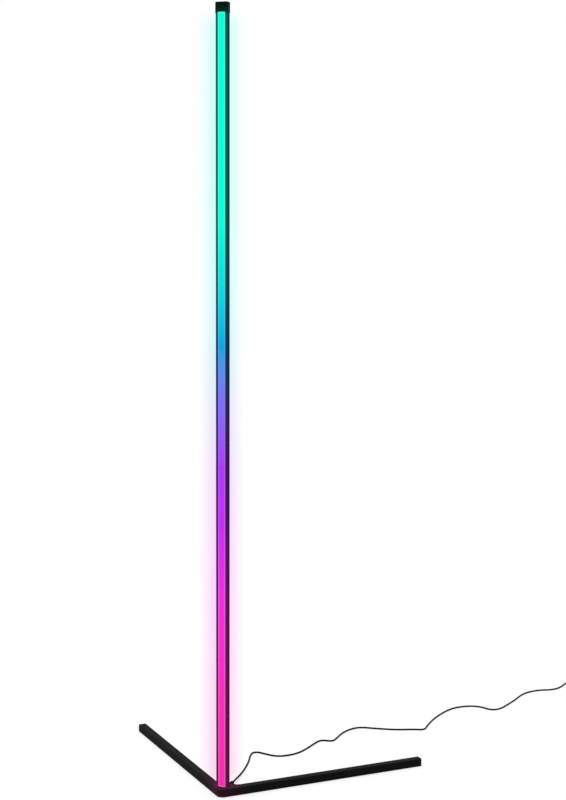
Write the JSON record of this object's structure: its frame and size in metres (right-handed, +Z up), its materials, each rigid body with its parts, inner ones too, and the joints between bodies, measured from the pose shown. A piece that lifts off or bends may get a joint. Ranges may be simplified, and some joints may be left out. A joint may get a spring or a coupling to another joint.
{
  "type": "corner led floor lamp",
  "caption": "Slim corner floor lamp: lit channel column on an L-shaped bar base, with a thin cord, in-line push-button controller and USB plug.",
  "frame": {"origin": "on the floor, under the axis of the light column, at the corner of the base", "axes": "+Z up along the column, the light faces -Y, the two legs run back at 45 degrees to either side of +Y"},
  "size_m": [0.8588, 0.9855, 1.4],
  "materials": {
    "powder_coat": "black powder coat, satin, fine texture",
    "anodised_black": "black anodised extrusion, satin",
    "opal_diffuser": "opal flexible plastic, lit from behind in a colour gradient",
    "black_plastic": "black moulded plastic, fine spark texture",
    "button_plastic": "dark grey moulded plastic",
    "black_rubber": "black rubber",
    "cord_jacket": "black flexible jacket, satin",
    "zinc_steel": "zinc plated steel",
    "black_screw": "black oxide steel",
    "white_board": "white solder mask on a flexible board",
    "led_package": "white moulded package with clear resin",
    "ceramic_tan": "ceramic chip capacitor",
    "wire_sleeve": "plastic wire sleeve",
    "green_board": "green circuit board",
    "switch_body": "small tactile switch",
    "can_metal": "bare metal can",
    "plug_steel": "nickel plated steel",
    "white_insulator": "white insulator",
    "gold_contact": "gold plated contact"
  },
  "bodies": {
    "lamp": {"corner_block": "powder_coat", "corner_cover": "powder_coat", "right_leg": "powder_coat", "left_leg": "powder_coat", "lower_channel": "anodised_black", "upper_channel": "anodised_black", "diffuser": "opal_diffuser", "top_cap": "black_plastic", "right_leg_end_plug": "black_plastic", "left_leg_end_plug": "black_plastic", "controller_lower_shell": "black_plastic", "controller_upper_shell": "black_plastic", "corner_foot_pad": "black_rubber", "leg_foot_pads": "black_rubber", "column_gasket": "black_rubber", "cord_strain_relief": "cord_jacket", "lamp_cord": "cord_jacket", "plug_cord_lead": "cord_jacket", "cord_coil": "cord_jacket", "plug_cord_tail": "cord_jacket", "cord_tie": "cord_jacket", "controller_inlet_boot": "cord_jacket", "controller_outlet_boot": "cord_jacket", "usb_plug_body": "cord_jacket", "column_bracket": "zinc_steel", "channel_joiner": "zinc_steel", "bracket_screws": "zinc_steel", "cover_screws": "black_screw", "leg_screws": "black_screw", "column_screws": "black_screw", "controller_screws": "black_screw", "led_strip_board": "white_board", "led_chips": "led_package", "strip_capacitors": "ceramic_tan", "feed_wires": "wire_sleeve", "controller_board": "green_board", "controller_switches": "switch_body", "controller_chip": "switch_body", "controller_capacitor": "can_metal", "controller_microphone": "can_metal", "usb_plug_shell": "plug_steel", "usb_plug_tongue": "white_insulator", "usb_plug_contacts": "gold_contact"},
    "power_button": {"power_button": "button_plastic"},
    "colour_button": {"colour_button": "button_plastic"},
    "mode_button": {"mode_button": "button_plastic"}
  },
  "joints": [
    {"name": "power_press", "type": "slide", "parent": "lamp", "child": "power_button", "axis": [0, 0, -1], "range_m": [0, 0.0004], "stiffness_N_per_m": 1000},
    {"name": "colour_press", "type": "slide", "parent": "lamp", "child": "colour_button", "axis": [0, 0, -1], "range_m": [0, 0.0004], "stiffness_N_per_m": 1000},
    {"name": "mode_press", "type": "slide", "parent": "lamp", "child": "mode_button", "axis": [0, 0, -1], "range_m": [0, 0.0004], "stiffness_N_per_m": 1000}
  ]
}
